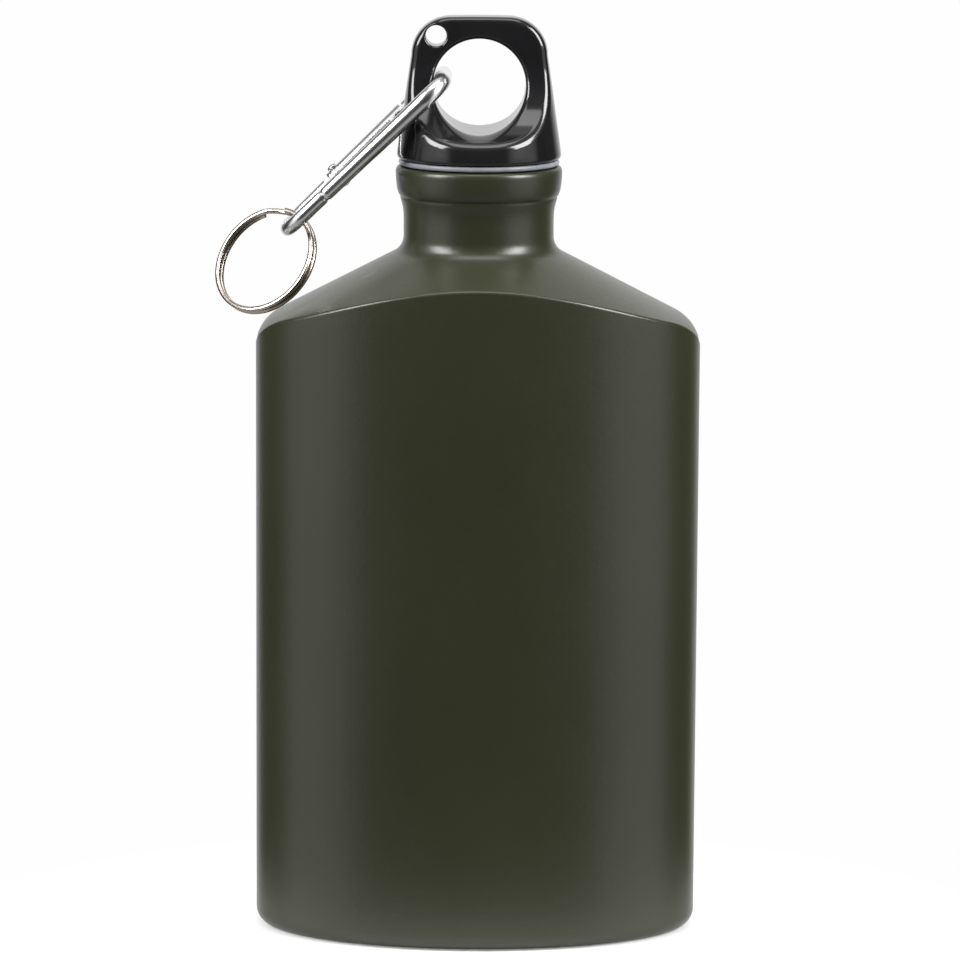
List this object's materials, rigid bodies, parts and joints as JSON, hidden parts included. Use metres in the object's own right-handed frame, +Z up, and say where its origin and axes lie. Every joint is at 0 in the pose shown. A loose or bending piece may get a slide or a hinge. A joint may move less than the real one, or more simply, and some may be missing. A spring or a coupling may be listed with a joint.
{
  "type": "drinking canteen",
  "caption": "Flattened oval metal drinking bottle with a screw-in loop cap and seal, a spring-gate carabiner through the loop and a split key ring on it.",
  "frame": {"origin": "centre of the base; z = 0 is the plane the canteen stands on", "axes": "+Z up through the mouth, X across the broad faces with the carabiner towards -X, Y through the thickness with the front face towards -Y"},
  "size_m": [0.1071, 0.0574, 0.2033],
  "materials": {
    "olive_coat": "matte",
    "grey_silicone": "satin",
    "black_plastic": "gloss",
    "black_stem": "satin",
    "bare_aluminium": "polished",
    "steel": "satin",
    "nickelled_steel": "polished"
  },
  "bodies": {
    "bottle": {"bottle_body": "olive_coat"},
    "seal": {"cap_gasket": "grey_silicone"},
    "cap": {"cap_shell": "black_plastic", "cap_plug": "black_stem"},
    "carabiner": {"carabiner_body": "bare_aluminium", "gate_hinge_pin": "steel"},
    "gate": {"carabiner_gate": "bare_aluminium", "gate_latch_pin": "steel", "gate_spring": "steel", "spring_plunger": "steel"},
    "ring": {"split_ring": "nickelled_steel"}
  },
  "joints": [
    {"name": "cap_lift", "type": "slide", "parent": "bottle", "child": "seal", "axis": [0, 0, 1], "range_m": [0, 0.012]},
    {"name": "cap_turn", "type": "hinge", "parent": "seal", "child": "cap", "pos_m": [0, 0, 0.17185], "axis": [0, 0, 1], "range_deg": [0, 1080]},
    {"name": "carabiner_swing", "type": "hinge", "parent": "cap", "child": "carabiner", "pos_m": [-0.008, 0, 0.1896], "axis": [0, 1, 0], "range_deg": [0, 135]},
    {"name": "gate_swing", "type": "hinge", "parent": "carabiner", "child": "gate", "pos_m": [-0.0309, 0.0082, 0.16725], "axis": [0.6984, 0, -0.7157], "range_deg": [0, 7], "stiffness_Nm_per_rad": 0.03, "springref_deg": -20.05},
    {"name": "ring_swing", "type": "hinge", "parent": "carabiner", "child": "ring", "pos_m": [-0.04192, 0, 0.15649], "axis": [0, 1, 0], "range_deg": [0, 20]}
  ],
  "couplings": [
    {"joint": "cap_lift", "follows": "cap_turn", "m_per_rad": 0.00063662}
  ]
}
